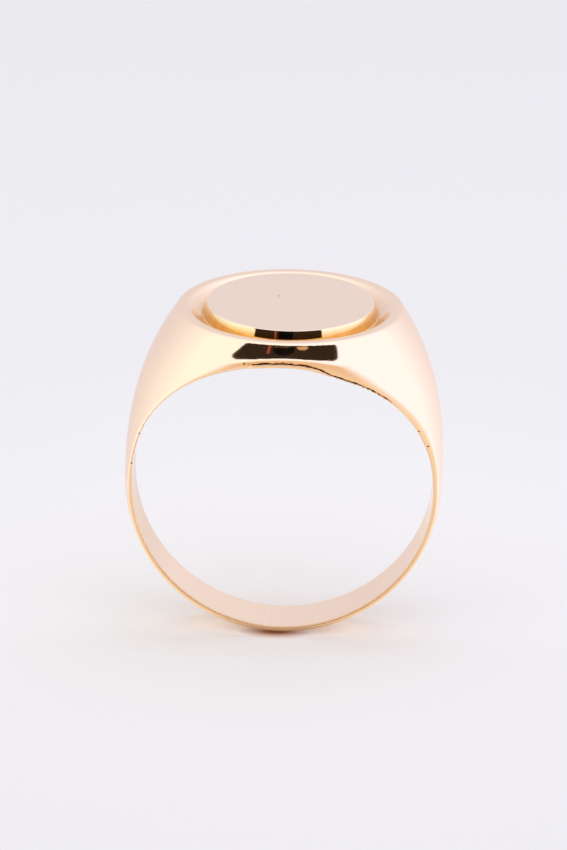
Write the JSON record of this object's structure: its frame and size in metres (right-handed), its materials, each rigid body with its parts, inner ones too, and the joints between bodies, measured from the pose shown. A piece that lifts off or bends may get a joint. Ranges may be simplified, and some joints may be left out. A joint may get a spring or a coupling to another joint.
{
  "type": "signet ring",
  "caption": "Hollow-backed signet ring: oval face with a raised plain plate in a sunk moat, sloping walls, shoulders that narrow into a D-section band.",
  "frame": {"origin": "middle of the finger hole", "axes": "+Y along the finger hole, +Z out of the signet face, +X across the band to the right"},
  "size_m": [0.0208, 0.0164, 0.0227],
  "materials": {
    "gold": "polished",
    "plate_gold": "polished",
    "lining_gold": "satin",
    "solder": "satin"
  },
  "bodies": {
    "root": {"ring_body": "gold", "signet_plate": "plate_gold", "plate_solder": "solder", "back_lining": "lining_gold", "front_lining_solder": "solder", "rear_lining_solder": "solder", "lining_end_solder": "solder", "shank_joint": "solder"}
  },
  "joints": []
}
